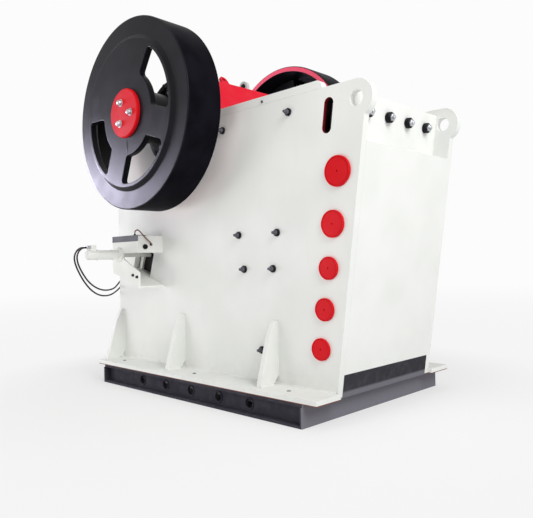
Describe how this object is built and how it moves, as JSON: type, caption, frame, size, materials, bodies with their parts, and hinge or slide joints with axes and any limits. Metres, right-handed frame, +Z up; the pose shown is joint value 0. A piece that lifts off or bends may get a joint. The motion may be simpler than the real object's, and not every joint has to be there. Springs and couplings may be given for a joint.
{
  "type": "jaw crusher",
  "caption": "Single-toggle jaw crusher on a base frame: leaning side plates, flywheels on an eccentric shaft, a swinging toothed jaw and a fixed one.",
  "frame": {"origin": "floor level, in the middle of the four foundation bolt holes of the base beams", "axes": "+X towards the front frame, -Y the right-hand side plate, +Z up"},
  "size_m": [3.3534, 2.6659, 3.35],
  "materials": {
    "white_paint": "satin",
    "black_steel": "satin",
    "housing_iron": "satin",
    "wheel_black": "satin",
    "red_paint": "satin",
    "pitman_paint": "satin",
    "manganese_steel": "rough cast",
    "machined_steel": "machined",
    "shaft_steel": "ground",
    "grey_paint": "satin",
    "hose_rubber": "matte"
  },
  "bodies": {
    "frame": {"side_plate_right": "white_paint", "side_plate_left": "white_paint", "top_rail_right": "white_paint", "top_rail_left": "white_paint", "foot_right": "white_paint", "foot_left": "white_paint", "gussets_right": "white_paint", "gussets_left": "white_paint", "front_frame": "white_paint", "rear_frame": "white_paint", "base_beam_right": "black_steel", "base_beam_left": "black_steel", "base_cross_front": "black_steel", "base_cross_rear": "black_steel", "front_sill": "black_steel", "bearing_housing_right": "housing_iron", "bearing_housing_left": "housing_iron", "edge_caps_right": "red_paint", "edge_caps_left": "red_paint", "fixed_jaw_plate": "manganese_steel", "cheek_plate_lower_right": "manganese_steel", "cheek_plate_lower_left": "manganese_steel", "cheek_plate_upper_right": "manganese_steel", "cheek_plate_upper_left": "manganese_steel", "fixed_jaw_wedge": "manganese_steel", "toggle_plate": "machined_steel", "toggle_beam": "machined_steel", "adjusting_wedge_front": "machined_steel", "adjusting_wedge_rear": "machined_steel", "cylinder_bracket_right": "grey_paint", "cylinder_bracket_left": "grey_paint", "wedge_cylinder_right": "grey_paint", "wedge_cylinder_left": "grey_paint", "hose_manifold": "grey_paint", "hose_lower": "hose_rubber", "hose_upper": "hose_rubber"},
    "rotor": {"eccentric_shaft": "shaft_steel", "flywheel_right": "wheel_black", "flywheel_left": "wheel_black", "hub_cap_right": "red_paint", "hub_cap_left": "red_paint"},
    "swing_jaw": {"pitman": "pitman_paint", "pitman_guard": "red_paint", "moving_jaw_plate": "manganese_steel", "moving_jaw_wedge": "manganese_steel", "toggle_seat": "machined_steel"}
  },
  "joints": [
    {"name": "flywheel_spin", "type": "hinge", "parent": "frame", "child": "rotor", "pos_m": [-0.44, 0, 2.508], "axis": [0, 1, 0], "continuous": true},
    {"name": "pitman_pivot", "type": "hinge", "parent": "rotor", "child": "swing_jaw", "pos_m": [-0.432, 0, 2.49414], "axis": [0, 1, 0], "continuous": true}
  ],
  "couplings": [
    {"joint": "pitman_pivot", "follows": "flywheel_spin", "ratio": -1}
  ]
}
